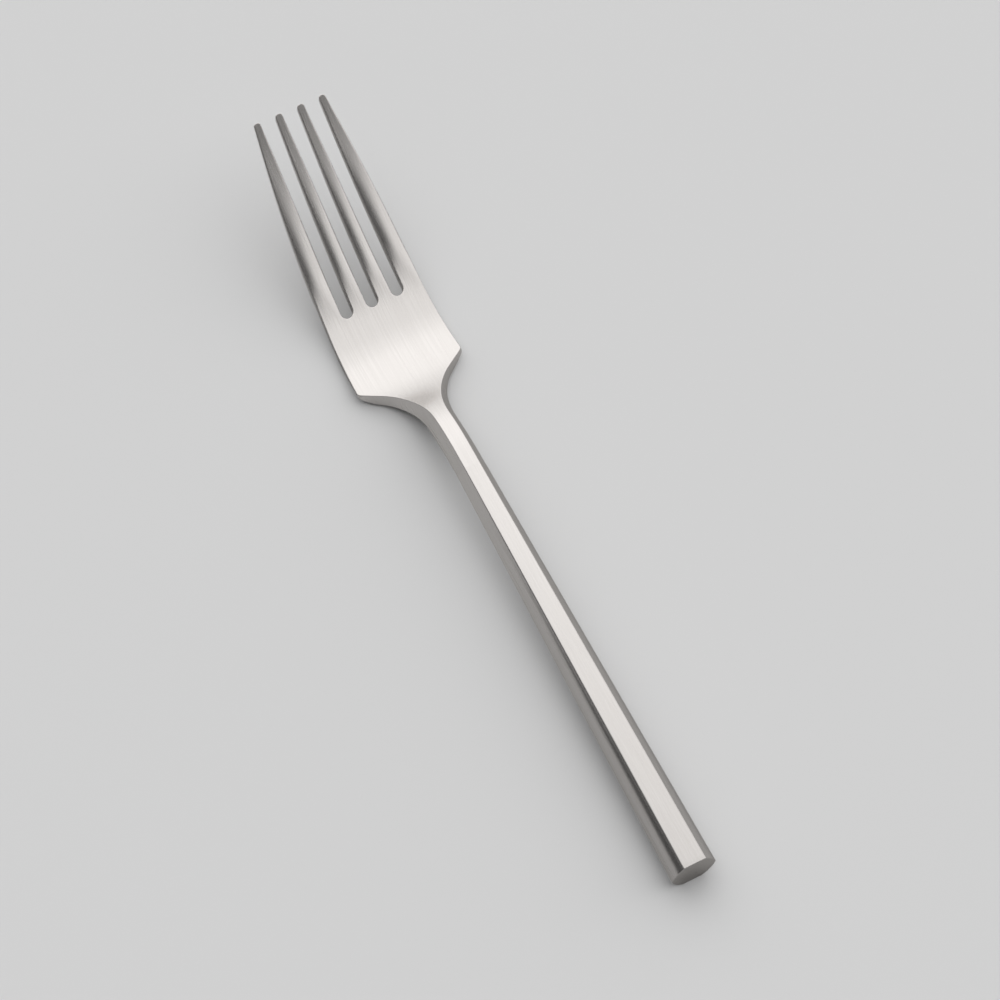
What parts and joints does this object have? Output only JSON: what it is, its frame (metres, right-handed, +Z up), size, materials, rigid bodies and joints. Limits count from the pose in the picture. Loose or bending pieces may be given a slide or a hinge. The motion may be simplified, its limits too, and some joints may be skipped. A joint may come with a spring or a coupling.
{
  "type": "salad fork",
  "caption": "Brushed steel salad fork with slim upswept tines, a flat palm with angular shoulders, a slender neck and a tapered hexagonal hollow handle closed by a flat end cap.",
  "frame": {"origin": "on the table, halfway along the fork and on its plane of symmetry", "axes": "+X from the handle's end to the tips of the tines, +Y to the left seen from the handle's end, +Z up from the table with the fork lying on its back"},
  "size_m": [0.18, 0.0246, 0.0255],
  "materials": {
    "head_steel": "satin brushed along the length, softly rounded edges",
    "handle_steel": "satin brushed along the length, crisp facets",
    "cap_steel": "satin brushed, flat",
    "filler_cement": "set grey cement, matt"
  },
  "bodies": {
    "root": {"fork_head": "head_steel", "handle_upper_shell": "handle_steel", "handle_lower_shell": "handle_steel", "handle_end_cap": "cap_steel", "handle_filler": "filler_cement"}
  },
  "joints": []
}
